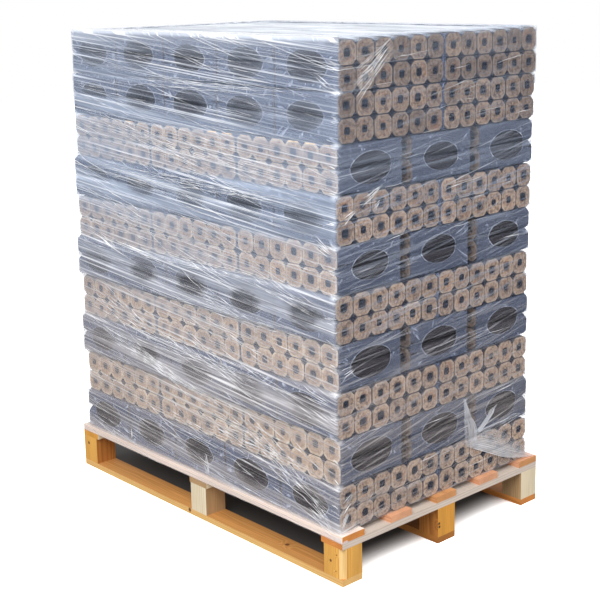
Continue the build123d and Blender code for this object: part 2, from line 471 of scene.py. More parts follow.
def sleeveLoop():
    # round a pack's section through the log ends, on the unit box, and which of its points lie above or below
    top = [(x, 1.0) for x in np.linspace(-0.985, 0.985, 17)]
    end = [(1.0, z) for z in np.linspace(0.965, -0.965, 8)]
    loop = np.array(top + end + [(-x, -z) for x, z in top + end])
    return loop, np.abs(loop[:, 1]) == 1.0


def grooveDepth(across, fromEnd):
    # how deep film lies between the logs of the top layer, deeper at the logs' ends
    offset = np.abs((across / logs["width"] + 0.5) % 1 - 0.5) * logs["width"]
    depth = sleeves["groove"] + sleeves["grooveAtEnd"] * near(fromEnd, 0, sleeves["grooveRun"])
    return depth * near(offset, 0, sleeves["grooveWidth"])


def makeSleeves(number, material):
    rng = random.Random(900 + number)
    loop, onTop = sleeveLoop()
    count = len(loop)
    along, across, middles = layerPlan(number)[:3]
    low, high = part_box(f"sleeves_layer_{number:02d}")
    halfUp = (high.z - low.z) / 2 - 0.0001
    halfAlong = logs["length"] / 2 + sleeves["clear"]
    halfAcross = logs["columns"] * logs["width"] / 2 + sleeves["clear"]
    angles = np.arctan2(loop[:, 1] * halfUp, loop[:, 0] * halfAlong)
    flat = loop * (halfAlong, halfUp)
    grooved, hoops = number == layerNumbers[-1], sleeves["hoops"]
    if grooved:
        # closer together, to follow the grooves between the logs
        offsets = [i * logs["width"] + d for i in (2, 1) for d in (0.012, 0.006, 0, -0.006, -0.012)]
        hoops = np.array(offsets + [0.012, 0.006, 0]) / halfAcross
    points, faces, films = [], [], []
    for middle in middles:
        rows, marks = [], []
        for side in (-1, 1):
            facing = side * across[1]
            behind = "Back" if facing > 0.5 else ""
            # painted reflection: the bloom is raised on the side facing the front
            bloom = sleeves["frontShare"] if facing < -0.5 else 1.0
            cut = np.where(onTop, sleeves["slope" + behind], sleeves["edge"])
            size = 1 + sleeves["ovalSpread"] * rng.uniform(-1, 1)
            shift = [rng.uniform(-1, 1) * most for most in sleeves["ovalShift"]]
            lean = rng.uniform(-1, 1) * sleeves["ovalLean"]
            phase = rng.uniform(0, 7)
            oval = np.stack([np.cos(angles + lean) * sleeves["ovalLength"] / 2,
                             np.sin(angles) * sleeves["ovalHeight"] / 2], -1) * size + shift
            inner = flat - np.sign(loop) * np.stack([~onTop, onTop], -1) * cut[:, None]
            allRows, allMarks = [], []
            for share in sleeves["rings"][::-1]:
                place = inner * (1 - share) + oval * share
                out = halfAcross - sleeves["valley" + behind] * near(place[:, 1], 0, sleeves["valleyReach"])
                out += sleeves["wrinkle"] * share * np.sin(angles * 21 + phase + 3 * share) * (share < 0.95)
                out += sleeves["bead"] * (share > 0.95)
                allRows.append(np.column_stack([place, side * out]))
                allMarks.append((share, angles * 2 + phase * 5, bloom))
            allRows.append(np.column_stack([flat, side * (halfAcross - cut)]))
            for share in hoops:
                allRows.append(np.column_stack([flat, np.full(count, side * halfAcross * share)]))
                if grooved:
                    sink = grooveDepth(allRows[-1][:, 2], halfAlong - np.abs(flat[:, 0]))
                    allRows[-1][:, 1] -= sink * (loop[:, 1] > 0.99)
            allMarks += [(0.0, angles * 2, 0.0)] * (1 + len(hoops))
            rows += allRows[::-side]
            marks += [np.column_stack(np.broadcast_arrays(*mark)) for mark in allMarks[::-side]]
        local = np.concatenate(rows)[:, (0, 2, 1)]
        faces.append(gridFaces(len(rows), count, len(points) * len(local), closed=True))
        base = (middle[0], middle[1], (low.z + high.z) / 2)
        points.append(base + local @ np.stack([along, across, upward]))
        films.append(np.concatenate(marks))
    piece = makePiece(f"pack_sleeves_{number:02d}", np.concatenate(points), np.concatenate(faces), [material],
                      smooth=False, attributes={"film": np.concatenate(films)})
    joinLoad(piece, f"sleeves_layer_{number:02d}")


sleeveMaterial = makeSleeveMaterial()
for layer in layerNumbers:
    makeSleeves(layer, sleeveMaterial)
print("shrink sleeves made")


# Sheet over the top

topSheet = {
    "drop": 0.06,  # how far it hangs over the sides
    "step": 0.0065,
    "lift": 0.0004,
    "wrinkle": 0.0028,
    "flatEdge": 0.045,  # how far in from its edge it lies flatter
    "colour": "#e6edf7",
    "shadeColour": "#c6d0e0",
    "haze": (0.63, 1.09),  # in its hollows and on its folds; the milky white is partly a painted reflection of the sky
    "hangHaze": 0.05,  # where it clings to the sides
    "clearEnds": 0.92,  # how much clearer both films are on the log ends' upper edge
    "clearRun": 0.026,
}
topLow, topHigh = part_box("top_sheet")
topZ = topHigh.z


def makeTopSheetMaterial():
    # polyethylene sheet laid slack: milky and glossy, partly a painted reflection of the sky, the logs
    # showing through as soft grey bands and its folds' hollows darkened as painted shade
    material, add = newMaterial("polyethylene sheet, laid slack")
    place = add("NewGeometry").outputs["Position"]
    drawnOut = add("VectorMath", {0: place, 1: (3.0, 42.0, 42.0)},
                   operation="MULTIPLY")  # folds 330 mm long and 24 mm wide
    folds = add("TexNoise", {"Vector": drawnOut, "Scale": 1.0, "Detail": 4.0, "Roughness": 0.6,
                             "Distortion": 0.4})
    share = add("MapRange", {0: folds, 1: 0.4, 2: 0.66})
    # painted shade: the shade colour darkens the hollows between the folds
    colour = add("Mix", {"Factor": share, "A": topSheet["shadeColour"], "B": topSheet["colour"]},
                 data_type="RGBA")
    alpha = add("MapRange", {0: folds, 1: 0.36, 2: 0.66, 3: topSheet["haze"][0], 4: topSheet["haze"][1]})
    laid = add("Attribute", attribute_name="laid").outputs["Vector"]
    laid = add("SeparateXYZ", {0: laid}).outputs[0]  # the share of haze that is left
    alpha = add("Math", {0: alpha, 1: laid}, operation="MULTIPLY")
    height = add("SeparateXYZ", {0: place}).outputs[2]
    onTop = add("MapRange", {0: height, 1: topZ - 0.009, 2: topZ - 0.001})
    alpha = add("Mix", {0: onTop, 2: topSheet["hangHaze"], 3: alpha})
    bump = add("Bump", {"Height": folds, "Strength": 0.5, "Distance": 0.003})
    shader = add("BsdfPrincipled", {"Base Color": colour, "Roughness": 0.22, "IOR": 1.5, "Alpha": alpha,
                                    "Normal": bump})
    add("OutputMaterial", {"Surface": shader})
    return material


def grooveOver(xs, ys):
    # the same grooves as in the top layer's sleeves, under a sheet laid over them
    depth = np.zeros(np.shape(xs))
    fromEnd = np.minimum(xs - topLow.x, topHigh.x - xs)
    for centre in sorted({round(middle[1], 5) for middle in layerPlan(layerNumbers[-1])[2]}):
        inside = np.abs(ys - centre) < logs["columns"] * logs["width"] / 2 - 0.02
        depth = np.where(inside, grooveDepth(ys - centre, fromEnd), depth)
    return depth


def clearOverEnds(xs, ys):
    # how much of the films' milkiness is left near the log ends: little on the logs, all of it between them
    fromEnd = np.minimum(xs - topLow.x, topHigh.x - xs)
    groove = (grooveOver(xs, ys) / (sleeves["groove"] + sleeves["grooveAtEnd"])).clip(0, 1)
    return 1 - topSheet["clearEnds"] * near(fromEnd, 0, topSheet["clearRun"]) * (1 - groove)


def unevenness(xs, ys, waves):
    # drawn out one way: waves of noise, each with a size, how close they lie both ways, and a start
    return np.array([sum(size * noise.noise(Vector((x * closeX, y * closeY, start)))
                         for size, closeX, closeY, start in waves)
                     for x, y in zip(xs.ravel(), ys.ravel())]).reshape(xs.shape)


def makeTopSheet():
    drop, step, lift = topSheet["drop"], topSheet["step"], topSheet["lift"]
    x0, x1, y0, y1 = topLow.x - lift, topHigh.x + lift, topLow.y - lift, topHigh.y + lift
    hang = np.linspace(drop, 0, 9)[:-1]
    xs, ys = (np.concatenate([start - hang, np.linspace(start, end, round((end - start) / step)),
                              end + hang[::-1]]) for start, end in ((x0, x1), (y0, y1)))
    gridX, gridY = np.meshgrid(xs, ys, indexing="ij")
    downX, downY = np.maximum(x0 - gridX, gridX - x1), np.maximum(y0 - gridY, gridY - y1)
    down = np.maximum(downX, downY).clip(0)
    placeX, placeY = gridX.clip(x0, x1), gridY.clip(y0, y1)
    rise = unevenness(placeX, placeY, ((1, 4, 34, 3), (0.5, 9, 70, 8)))
    rise = (rise * 0.5 + 0.5).clip(0, 1) * topSheet["wrinkle"]
    inside = np.minimum(np.minimum(placeX - x0, x1 - placeX), np.minimum(placeY - y0, y1 - placeY))
    placeZ = topZ + lift - down + rise * smoothStep(0, topSheet["flatEdge"], inside)
    placeZ -= grooveOver(placeX, placeY) * smoothStep(0.004, 0.0, down)
    points = np.stack([placeX, placeY, placeZ], -1).reshape(-1, 3)
    corner = ((downX > 1e-9) & (downY > 1e-9)).ravel()  # cut out where the hanging sides meet
    faces = gridFaces(len(xs), len(ys))
    faces = faces[~corner[faces].any(axis=1)]
    used, faces = np.unique(faces, return_inverse=True)
    laid = np.repeat(clearOverEnds(placeX, placeY).reshape(-1, 1), 3, axis=1)
    piece = makePiece("top_sheet_film", points[used], faces.reshape(-1, 4), [makeTopSheetMaterial()],
                      attributes={"laid": laid[used]})
    joinLoad(piece, "top_sheet")


makeTopSheet()
print("top sheet made")


# Stretched film round the load

film = {
    "clear": 0.0018,  # beyond the sleeves
    "radius": 0.006,
    "dip": 0.0028,  # drawn in between rows of logs that lie along a face
    "dipBack": 0.008,
    "dipReach": 0.006,
    "endDip": 0.0015,
    "hem": 0.119,  # its lower edge, over the deck's edge at the front and clear of it elsewhere
    "hemOnDeck": 0.1395,
    "hemFrom": 0.22,  # height from which it is drawn down to its hem
    "deckEdge": 0.0015,
    "cornerRun": 0.06,  # how far it follows the front's foot round the corners
    "cornerDraw": (0.2, 0.07),  # how far along the front, and round its corners, it is drawn out to them
    "flare": (0.139, 0.175),  # heights between which the foot widens
    "plan": (1.16, 0.76),  # of the load, for the length of its winding
    "wrinkle": 0.0011,
    "roll": (0.5, 10.6),  # its width, and how much of it covers the load once
    # over the top: how far in, and how high above the sheet
    "overTop": ((0.0012, 0.0032), (0.004, 0.0038), (0.01, 0.004), (0.022, 0.004), (0.04, 0.004),
                (0.058, 0.004), (0.076, 0.004), (0.09, 0.0036)),
    "pleat": 0.0009,
    "endSink": 0.003,  # how much lower it lies where it starts over the log ends
    "columnsX": 64,
    "columnsY": 118,
    "crossing": 2.4,  # how much steeper a second winding lies over the first
    "slopes": {"left": 0.06, "front": -0.075, "right": 0.06, "back": -0.05},  # rise over run of the winding
    # at the front, by layers from the deck up: haze, partly the film's milkiness and partly a painted
    # reflection of the sky, strength of its streaks, how clear it is over the ovals
    "frontHaze": (0.27, 0.37, 0.47, 0.43, 0.5, 0.44, 0.56, 0.45, 0.3, 0.2),
    "frontLines": (1.0, 1.0, 1.0, 1.0, 1.0, 1.0, 1.0, 1.0, 1.25, 1.7),
    "frontOvals": (0.5, 0.0, 0.35, 0.0, 0.6, 0.0, 0.3, 0.0, 0.35, 0.3),
    "ovalClear": (0.056, 0.025),
    "leftHaze": 0.32,
    "backHaze": 0.36,
    "rightHaze": 0.03,
    "rightBand": 0.12,  # more in two bands round these heights
    "rightBands": ((1.06, 0.07), (0.37, 0.09)),
    "calm": 0.62,  # how much is left of its streaks over the log ends at the front
    "rightCalm": 0.75,  # how much is taken off its broader streaks on the right
    "clearNearCorner": 0.3,  # how much less haze there is over the lower log ends near the front corner
    "hazeFarCorner": 0.13,  # how much more there is high up at the other end of the front
    "clearFoot": 0.65,
    # how white it is drawn at the foot, the hem and over the top, how bright its painted highlights down the
    # near edge are, and how far each reaches
    "paintedGlintJoint": (0.42, 0.007),  # painted highlight at the near edge, where layers meet
    "paintedGlintMiddle": (0.16, 0.005),  # painted highlight there, between a layer's two rows
    "paintedGlintRun": 0.009,
    "paintedGlintEdge": (0.05, 0.006),  # painted highlight all the way down that edge
    "whiteFootCorner": (0.25, 0.045),
    "whiteFoot": 0.1,
    "whiteHem": 0.16,
    "whiteUpperEdge": 0.22,
    "whiteTop": 0.3,
    "greyColour": "#bccae2",
    "warmColour": "#d6cfd0",  # lower down, where the wood shows through
    "whiteColour": "#fdfdff",
}
cornerX, cornerY = 0.6, 0.4  # of the pallet
layerBoxes = [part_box(f"sleeves_layer_{number:02d}") for number in layerNumbers]
layerMiddles = [(low.z + high.z) / 2 for low, high in layerBoxes]
layerCrossed = [number in logs["crossLayers"] for number in layerNumbers]
sideOut = {"left": (-1, 0, 0), "front": (0, -1, 0), "right": (1, 0, 0), "back": (0, 1, 0)}


def outlineAt(heights):
    # the film's four sides at each height: lowest and highest x, lowest and highest y
    knots = [z for low, high in layerBoxes for z in (low.z + 0.008, high.z - 0.008)]
    levels = zip(*[(low.x, high.x, low.y, high.y) for low, high in layerBoxes])
    sides = [np.interp(heights, knots, np.repeat(level, 2)) for level in levels]
    lengthwise = [not crossed for crossed in layerCrossed]
    dips = []
    for showsSides, deepest in ((layerCrossed, film["dip"]), (lengthwise, film["dip"]),
                                (lengthwise, film["dipBack"])):
        dip = np.zeros(len(heights))
        for i, (low, high) in enumerate(layerBoxes):
            depth = deepest if showsSides[i] else film["endDip"]
            dip += depth * near(heights, layerMiddles[i], film["dipReach"])
            if i:
                both = (showsSides[i] + showsSides[i - 1]) / 2
                depth = film["endDip"] + (deepest - film["endDip"]) * both
                dip += depth * near(heights, low.z, film["dipReach"])
        dips.append(film["clear"] - dip)
    return sides[0] - dips[0], sides[1] + dips[0], sides[2] - dips[1], sides[3] + dips[2]


def footFlare(heights):
    return (1 - smoothStep(*film["flare"], heights)) ** 1.6


def filmRows():
    # heights of the rows of points, close together at each joint between rows of logs
    joints = sorted({round(z, 5) for low, high in layerBoxes for z in (low.z, (low.z + high.z) / 2)})[1:]
    heights = list(np.linspace(layerBoxes[0][0].z, joints[0] - 0.014, 7))
    for joint, following in zip(joints, joints[1:] + [topZ + 0.008]):
        heights += [joint + offset for offset in (-0.009, -0.0055, -0.0025, 0, 0.0025, 0.0055, 0.009, 0.014)]
        heights += list(np.linspace(joint + 0.014, following - 0.014, 5))[1:]
    return np.array(heights)


def filmColumns():
    # round the load from the back left corner: share of each side, outward direction, distance and face
    columns = []
    distance = 0.0
    corners = ((0, 1), (0, 0), (1, 0), (1, 1), (0, 1))
    outs = [np.array(out[:2]) for out in sideOut.values()]
    for index, face in enumerate(sideOut):
        start, end = np.array(corners[index:index + 2], float)
        run = abs((end - start) @ film["plan"])
        for share in np.linspace(0, 1, film["columnsX"] if face in ("front", "back") else film["columnsY"]):
            place = start + (end - start) * share
            columns.append((*place, *outs[index], distance + run * share, index, share * run, run))
        distance += run
        for turn in (0.25, 0.5, 0.75):
            angle = turn * math.pi / 2
            normal = outs[index] * math.cos(angle) + outs[(index + 1) % 4] * math.sin(angle)
            distance += film["radius"] * math.pi / 8
            columns.append((*end, *normal, distance, index + turn, run, run))
        distance += film["radius"] * math.pi / 8
    return np.array(columns)


def filmSurface():
    columns, heights = filmColumns(), filmRows()
    shareX, shareY, outX, outY, distance, face, run, length = columns.T
    lowX, highX, lowY, highY = (side[:, None] for side in outlineAt(heights))
    radius = film["radius"]
    xs = lowX + radius + (highX - lowX - 2 * radius) * shareX + outX * radius
    ys = lowY + radius + (highY - lowY - 2 * radius) * shareY + outY * radius
    zs = np.repeat(heights[:, None], len(columns), axis=1)

    # the foot: over the deck's edge at the front, and drawn out to its two front corners
    frontness = smoothStep(film["cornerRun"], 0.0,
                           np.select([face < 1, face < 2, face < 3], [length - run, 0.0, run], 9.0))
    ahead, aside = film["cornerDraw"]
    atRight = frontness * np.select([face < 1, face < 2, face < 3], [
        0.0, smoothStep(ahead, 0.0, length - run), smoothStep(aside, 0.0, run)], 0.0)
    atLeft = frontness * np.select([face < 1, face < 2], [
        smoothStep(aside, 0.0, length - run), smoothStep(ahead, 0.0, run)], 0.0)
    flare, edge, above = footFlare(heights)[:, None], film["deckEdge"], film["hemFrom"]
    hem = film["hem"] * frontness + film["hemOnDeck"] * (1 - frontness)
    stretch = (above - zs) / (above - heights[0])
    zs = np.where(zs < above, above - stretch * (above - hem), zs)
    ys += (-cornerY - edge - ys) * frontness * (-outY).clip(0) ** 0.5 * flare
    xs += (cornerX + edge - xs.max(axis=1, keepdims=True)) * atRight * flare
    xs += (-cornerX - edge - xs.min(axis=1, keepdims=True)) * atLeft * flare
    overEnds = np.abs(outX) > 0.9
    zs -= grooveOver(xs[-1], ys[-1]) * overEnds * smoothStep(topZ - 0.035, topZ - 0.004, zs)

    # winding coordinates and the fine unevenness of the film
    slopes = np.array([film["slopes"][key] for key in sideOut])
    climb = np.diff(distance, prepend=0) * slopes[face.astype(int)]
    winding = zs - np.cumsum(climb)
    windS = np.repeat(distance[None], len(heights) + len(film["overTop"]), axis=0)
    uneven = unevenness(windS[:len(heights)], winding, ((1, 5, 75, 1), (0.6, 9, 190, 5)))
    push = (uneven * 0.5 + 0.45).clip(0, 1.2) * film["wrinkle"]
    xs += outX * push
    ys += outY * push

    # over the top: round the edge, then drawn in with pleats, flatter where it starts over the log ends
    lastX, lastY = xs[-1], ys[-1]
    pleats = film["pleat"] * np.sin(distance * 120 + 9 * np.sin(distance * 7))
    rows = []
    for inward, rise in film["overTop"]:
        innerX, innerY = (last + (last.clip(last.min() + inward, last.max() - inward) - last) * 0.98
                          for last in (lastX, lastY))
        sink = (grooveOver(innerX, innerY) + film["endSink"] * smoothStep(0.055, 0.008, inward)) * overEnds
        innerZ = topZ + rise + 0.0005 + pleats * smoothStep(0.012, 0.06, inward) - sink
        rows.append((innerX, innerY, innerZ))
    xs, ys, zs = (np.concatenate([grid, added]) for grid, added in zip((xs, ys, zs), np.moveaxis(rows, 1, 0)))
    winding = np.concatenate([winding, winding[-1] + [[inward] for inward, rise in film["overTop"]]])
    return xs, ys, zs, windS, winding, winding - np.cumsum(climb * film["crossing"]), columns


def filmState(xs, ys, zs, columns):
    # how hazy and how white the film is from place to place, as the photo shows it
    face, run, length = columns.T[5:]
    onFront = (face >= 1) & (face < 2)
    bands = sum(near(zs, height, reach) for height, reach in film["rightBands"])
    levels = np.stack(np.broadcast_arrays(
        film["leftHaze"], np.interp(zs, layerMiddles, film["frontHaze"]),
        film["rightHaze"] + film["rightBand"] * bands, film["backHaze"]))
    index, turn, every = face.astype(int), face % 1, np.arange(len(columns))
    haze = levels[index, :, every].T * (1 - turn) + levels[(index + 1) % 4, :, every].T * turn

    beyondCorner = np.select([face < 1, face < 2, face < 3], [9.0, length - run, run], 9.0)
    foot = 1 - smoothStep(0.135, 0.165, zs)
    # painted highlights: glints of light down the near edge, where layers meet, between a layer's two rows
    # and along all of it
    edges = [(low.z, *film["paintedGlintJoint"]) for low, high in layerBoxes[1:]]
    edges += [(middle, *film["paintedGlintMiddle"]) for middle in layerMiddles]
    white = sum(strength * near(zs, z, reach) for z, strength, reach in edges)
    white *= near(beyondCorner, 0, film["paintedGlintRun"])
    for strength, where in (
            (film["paintedGlintEdge"][0], near(beyondCorner, 0, film["paintedGlintEdge"][1])),
            (film["whiteFoot"], foot * onFront),
            (film["whiteHem"], (1 - smoothStep(0.137, 0.15, zs)) * (face >= 2)),
            (film["whiteFootCorner"][0],
             near(beyondCorner, 0, film["whiteFootCorner"][1]) * (1 - smoothStep(0.13, 0.2, zs))),
            (film["whiteUpperEdge"], smoothStep(topZ - 0.04, topZ - 0.006, zs) * onFront),
            (film["whiteTop"], smoothStep(topZ - 0.004, topZ + 0.002, zs))):
        white += strength * where
    left = 1 - smoothStep(topZ - 0.012, topZ - 0.002, zs) * (1 - clearOverEnds(xs, ys))
    white *= left
    haze *= left * (1 - film["clearFoot"] * foot)

    overEnds = np.zeros(zs.shape)
    for (low, high), crossed in zip(layerBoxes, layerCrossed):
        if crossed:
            fadeIn = smoothStep(low.z - 0.006, low.z + 0.01, zs)
            overEnds += fadeIn * smoothStep(high.z + 0.006, high.z - 0.01, zs)
    overEnds *= onFront
    haze *= 1 - film["clearNearCorner"] * overEnds * smoothStep(-0.05, 0.5, xs) * smoothStep(1.0, 0.8, zs)
    haze += film["hazeFarCorner"] * onFront * smoothStep(0.05, -0.55, xs) * smoothStep(0.7, 0.95, zs)
    reachX, reachZ = film["ovalClear"]
    for number, middle, crossed, share in zip(layerNumbers, layerMiddles, layerCrossed, film["frontOvals"]):
        for place in {round(pack[0], 4) for pack in layerPlan(number)[2]} if not crossed else ():
            reach = ((xs - place) / reachX) ** 2 + ((zs - middle) / reachZ) ** 2
            haze *= 1 - share * smoothStep(1.3, 0.6, reach) * smoothStep(-0.58, -0.15, xs) * onFront
    lines = 1 - (1 - film["calm"]) * overEnds
    lines *= 1 + (np.interp(zs, layerMiddles, film["frontLines"]) - 1) * onFront
    streaked = 1 - film["rightCalm"] * smoothStep(1.7, 2.0, face) * smoothStep(3.3, 3.0, face)
    return (np.stack([haze, white.clip(0, 1), np.broadcast_to(streaked, zs.shape)], -1),
            np.stack([overEnds, lines, np.zeros(zs.shape)], -1))


def makeFilmMaterial():
    # stretched polyethylene film: clear in single layers, grey blue in many, white where drawn into creases,
    # with highlights painted down the near edge
    material, add = newMaterial("polyethylene film, wound tight")
    wind, state, calm = (
        add("SeparateXYZ", {0: add("Attribute", attribute_name=label).outputs["Vector"]}).outputs
        for label in ("wind", "state", "overEnds"))
    level, steeper = (add("CombineXYZ", {0: wind[0], 1: wind[i]}) for i in (1, 2))
    place = add("NewGeometry").outputs["Position"]
    height = add("SeparateXYZ", {0: place}).outputs[2]
    streaks = []
    # lines per metre along and across the winding, and what of the noise becomes a streak and how strong
    for lie, along, across, offset, low, high, most, rough in (
            (level, 2.2, 230.0, 0.0, 0.6, 0.72, 1.0, (3.0, 0.55, 0.0)),
            (steeper, 1.8, 210.0, 60.0, 0.6, 0.72, 1.0, (3.0, 0.55, 0.0)),
            (level, 1.1, 150.0, 20.0, 0.52, 0.68, 1.0, (3.0, 0.55, 0.1)),
            (level, 1.1, 24.0, 40.0, 0.36, 0.66, 1.0, (3.0, 0.55, 0.3)),
            (level, 1.9, 15.0, 80.0, 0.42, 0.58, 1.0, (3.0, 0.55, 0.5)),
            (steeper, 3.0, 125.0, 90.0, 0.55, 0.64, 0.34, (2.0, 0.5, 0.0)),
            (level, 2.6, 130.0, 110.0, 0.55, 0.64, 0.34, (2.0, 0.5, 0.0))):
        drawn = add("VectorMath", {0: lie, 1: (along, across, 1.0), 2: (0, 0, offset)},
                    operation="MULTIPLY_ADD")
        grain = add("TexNoise", {"Vector": drawn, "Scale": 1.0, "Detail": rough[0],
                                 "Roughness": rough[1], "Distortion": rough[2]})
        streaks.append(add("MapRange", {0: grain, 1: low, 2: high, 4: most}))
    fine, crossed, medium, broad, bundled, *hatches = streaks
    bundled = add("Math", {0: bundled, 1: 0.35}, operation="ADD")
    fine = add("Math", {0: fine, 1: crossed}, operation="MAXIMUM")
    fine = add("Math", {0: fine, 1: bundled}, operation="MULTIPLY")
    medium = add("Math", {0: medium, 1: state[2]}, operation="MULTIPLY")
    creases = add("Math", {0: medium, 1: 0.8, 2: fine}, operation="MULTIPLY_ADD")
    strength = add("Math", {0: state[0], 1: 0.24}, operation="ADD")
    strength = add("Math", {0: strength, 1: calm[1]}, operation="MULTIPLY")
    # faint close lines all over the side with the log ends
    hatch = add("Math", {0: hatches[0], 1: hatches[1]}, operation="MAXIMUM")
    hatchShare = add("Math", {0: 1.0, 1: state[2]}, operation="SUBTRACT")
    lower = add("MapRange", {0: height, 1: 1.15, 2: 0.98, 3: 0.4})
    for share in (hatchShare, lower):
        hatch = add("Math", {0: hatch, 1: share}, operation="MULTIPLY")
    lines = add("Math", {0: creases, 1: strength, 2: hatch}, operation="MULTIPLY_ADD")
    even = add("MapRange", {0: calm[0], 4: 0.65})
    veil = add("Mix", {0: even, 2: broad, 3: 0.5})
    veil = add("Math", {0: veil, 1: 1.15, 2: 0.28}, operation="MULTIPLY_ADD")
    alpha = add("Math", {0: veil, 1: state[0], 2: lines}, operation="MULTIPLY_ADD")
    alpha = add("Math", {0: alpha, 1: state[1]}, operation="ADD", use_clamp=True)
    alpha = add("Math", {0: alpha, 1: 0.94}, operation="MINIMUM")
    warm = add("MapRange", {0: height, 1: 0.95, 2: 0.35})
    # its whiteness: the creases, and the state's white, which holds the painted highlights down the near edge
    whiteness = add("Math", {0: creases, 1: 0.75, 2: state[1]}, operation="MULTIPLY_ADD", use_clamp=True)
    colour = film["greyColour"]
    for share, other in ((warm, "warmColour"), (whiteness, "whiteColour")):
        colour = add("Mix", {"Factor": share, "A": colour, "B": film[other]}, data_type="RGBA")
    bump = add("Bump", {"Height": creases, "Strength": 0.6, "Distance": 0.0012})
    shader = add("BsdfPrincipled", {"Base Color": colour, "Roughness": 0.18, "IOR": 1.5, "Alpha": alpha,
                                    "Normal": bump})
    add("OutputMaterial", {"Surface": shader})
    return material


def makeFilm():
    xs, ys, zs, windS, winding, crossing, columns = filmSurface()
    state, overEnds = filmState(xs, ys, zs, columns)
    piece = makePiece("stretch_film_wound", np.stack([xs, ys, zs], -1).reshape(-1, 3),
                      gridFaces(len(zs), len(columns)), [makeFilmMaterial()],
                      attributes={"wind": np.stack([windS, winding, crossing], -1), "state": state,
                                  "overEnds": overEnds})
    return joinLoad(piece, "stretch_film")


filmPiece = makeFilm()
print("stretch film made,", len(filmPiece.data.polygons), "faces")


# Folds gathered in the stretched film, and painted highlights down its near edge

folds = {
    "lift": 0.001,
    "height": 0.0016,
    "wander": 0.001,
    "step": 0.009,
    "width": (0.0012, 0.0022),
    "scatteredWidth": (0.001, 0.0018),
    # the widths of the painted highlights down the near edge
    "edgeWidth": (0.0015, 0.0035),
    "haze": (0.25, 0.8),
    "colour": "#fbfcff",
    # on the front, from one end to the other as x and z, with how many lie side by side and over what height
    "front": [((0.5, 1.3), (0.578, 1.258), 4, 0.02), ((0.5, 0.9), (0.575, 0.866), 5, 0.03),
              ((0.2, 0.79), (0.578, 0.7), 7, 0.06), ((0.439, 0.5), (0.575, 0.478), 5, 0.03),
              ((0.05, 0.42), (0.575, 0.185), 5, 0.08), ((0.25, 0.3), (0.58, 0.165), 4, 0.05),
              ((-0.1, 0.56), (0.3, 0.43), 5, 0.05), ((-0.56, 0.93), (-0.1, 0.82), 5, 0.07),
              ((-0.56, 0.64), (-0.15, 0.5), 5, 0.06), ((-0.45, 0.155), (-0.39, 0.131), 4, 0.025),
              ((-0.339, 0.19), (-0.331, 0.15), 3, 0.012), ((0.02, 0.2), (0.06, 0.145), 4, 0.05),
              ((0.46, 0.2), (0.575, 0.14), 7, 0.05),
              ((-0.546, 0.503), (0.131, 0.357), 8, 0.05), ((-0.546, 0.51), (0.444, 0.473), 8, 0.06),
              ((-0.55, 0.985), (0.57, 0.99), 8, 0.035), ((-0.45, 1.262), (0.57, 1.252), 7, 0.03),
              ((-0.524, 1.154), (0.198, 1.016), 7, 0.05), ((-0.316, 1.109), (0.57, 1.016), 8, 0.05),
              ((-0.07, 0.304), (0.57, 0.273), 6, 0.04), ((-0.56, 0.763), (0.56, 0.758), 6, 0.03),
              ((-0.2, 0.655), (0.56, 0.64), 5, 0.03)],
    # on the right, as y and z
    "right": [((-0.35, 1.25), (-0.18, 1.385), 11, 0.09), ((-0.33, 1.262), (-0.221, 1.339), 5, 0.05),
              ((-0.318, 1.281), (-0.253, 1.32), 4, 0.02), ((-0.368, 0.945), (-0.323, 0.976), 4, 0.02),
              ((-0.309, 0.986), (-0.227, 1.026), 5, 0.02), ((-0.267, 0.963), (-0.238, 0.987), 3, 0.015),
              ((0.205, 0.264), (0.341, 0.28), 4, 0.02), ((-0.387, 0.56), (-0.33, 0.575), 3, 0.02),
              ((-0.385, 0.2), (-0.345, 0.235), 4, 0.03), ((-0.388, 0.145), (-0.36, 0.2), 4, 0.02)],
    # scattered over each side: how many, between which places, heights and lengths, and how steep
    "scattered": (("front", 150, (-0.575, 0.575), (0.15, 1.37), (0.06, 0.42), -0.09),
                  ("right", 34, (-0.385, 0.365), (0.17, 1.37), (0.04, 0.16), 0.07),
                  ("left", 40, (-0.38, 0.36), (0.17, 1.37), (0.05, 0.3), 0.06),
                  ("back", 60, (-0.57, 0.57), (0.17, 1.37), (0.06, 0.42), -0.06)),
    "lowest": 0.16,
}


def makeFoldAndGlintMaterial():
    # film drawn together several layers thick: milky white and glossy; the same white ribbons stand for
    # painted highlights down the near edge
    material, add = newMaterial("polyethylene film, creased, and painted glints")
    place = add("NewGeometry").outputs["Position"]
    mottled = add("TexNoise", {"Vector": place, "Scale": 1 / 0.03, "Detail": 2.0})
    alpha = add("MapRange", {0: mottled, 1: 0.35, 2: 0.65, 3: folds["haze"][0], 4: folds["haze"][1]})
    shader = add("BsdfPrincipled", {"Base Color": folds["colour"], "Roughness": 0.2, "IOR": 1.5,
                                    "Alpha": alpha})
    add("OutputMaterial", {"Surface": shader})
    return material


def onFace(face, run, height):
    # points on the film's side at a place along the face and a height, and the way out of it
    lowX, highX, lowY, highY = outlineAt(height)
    lowY += (-cornerY - film["deckEdge"] - lowY) * footFlare(height)
    edge = {"left": lowX, "front": lowY, "right": highX, "back": highY}[face]
    place = (run, edge, height) if face in ("front", "back") else (edge, run, height)
    return np.stack(place, -1), np.array(sideOut[face])


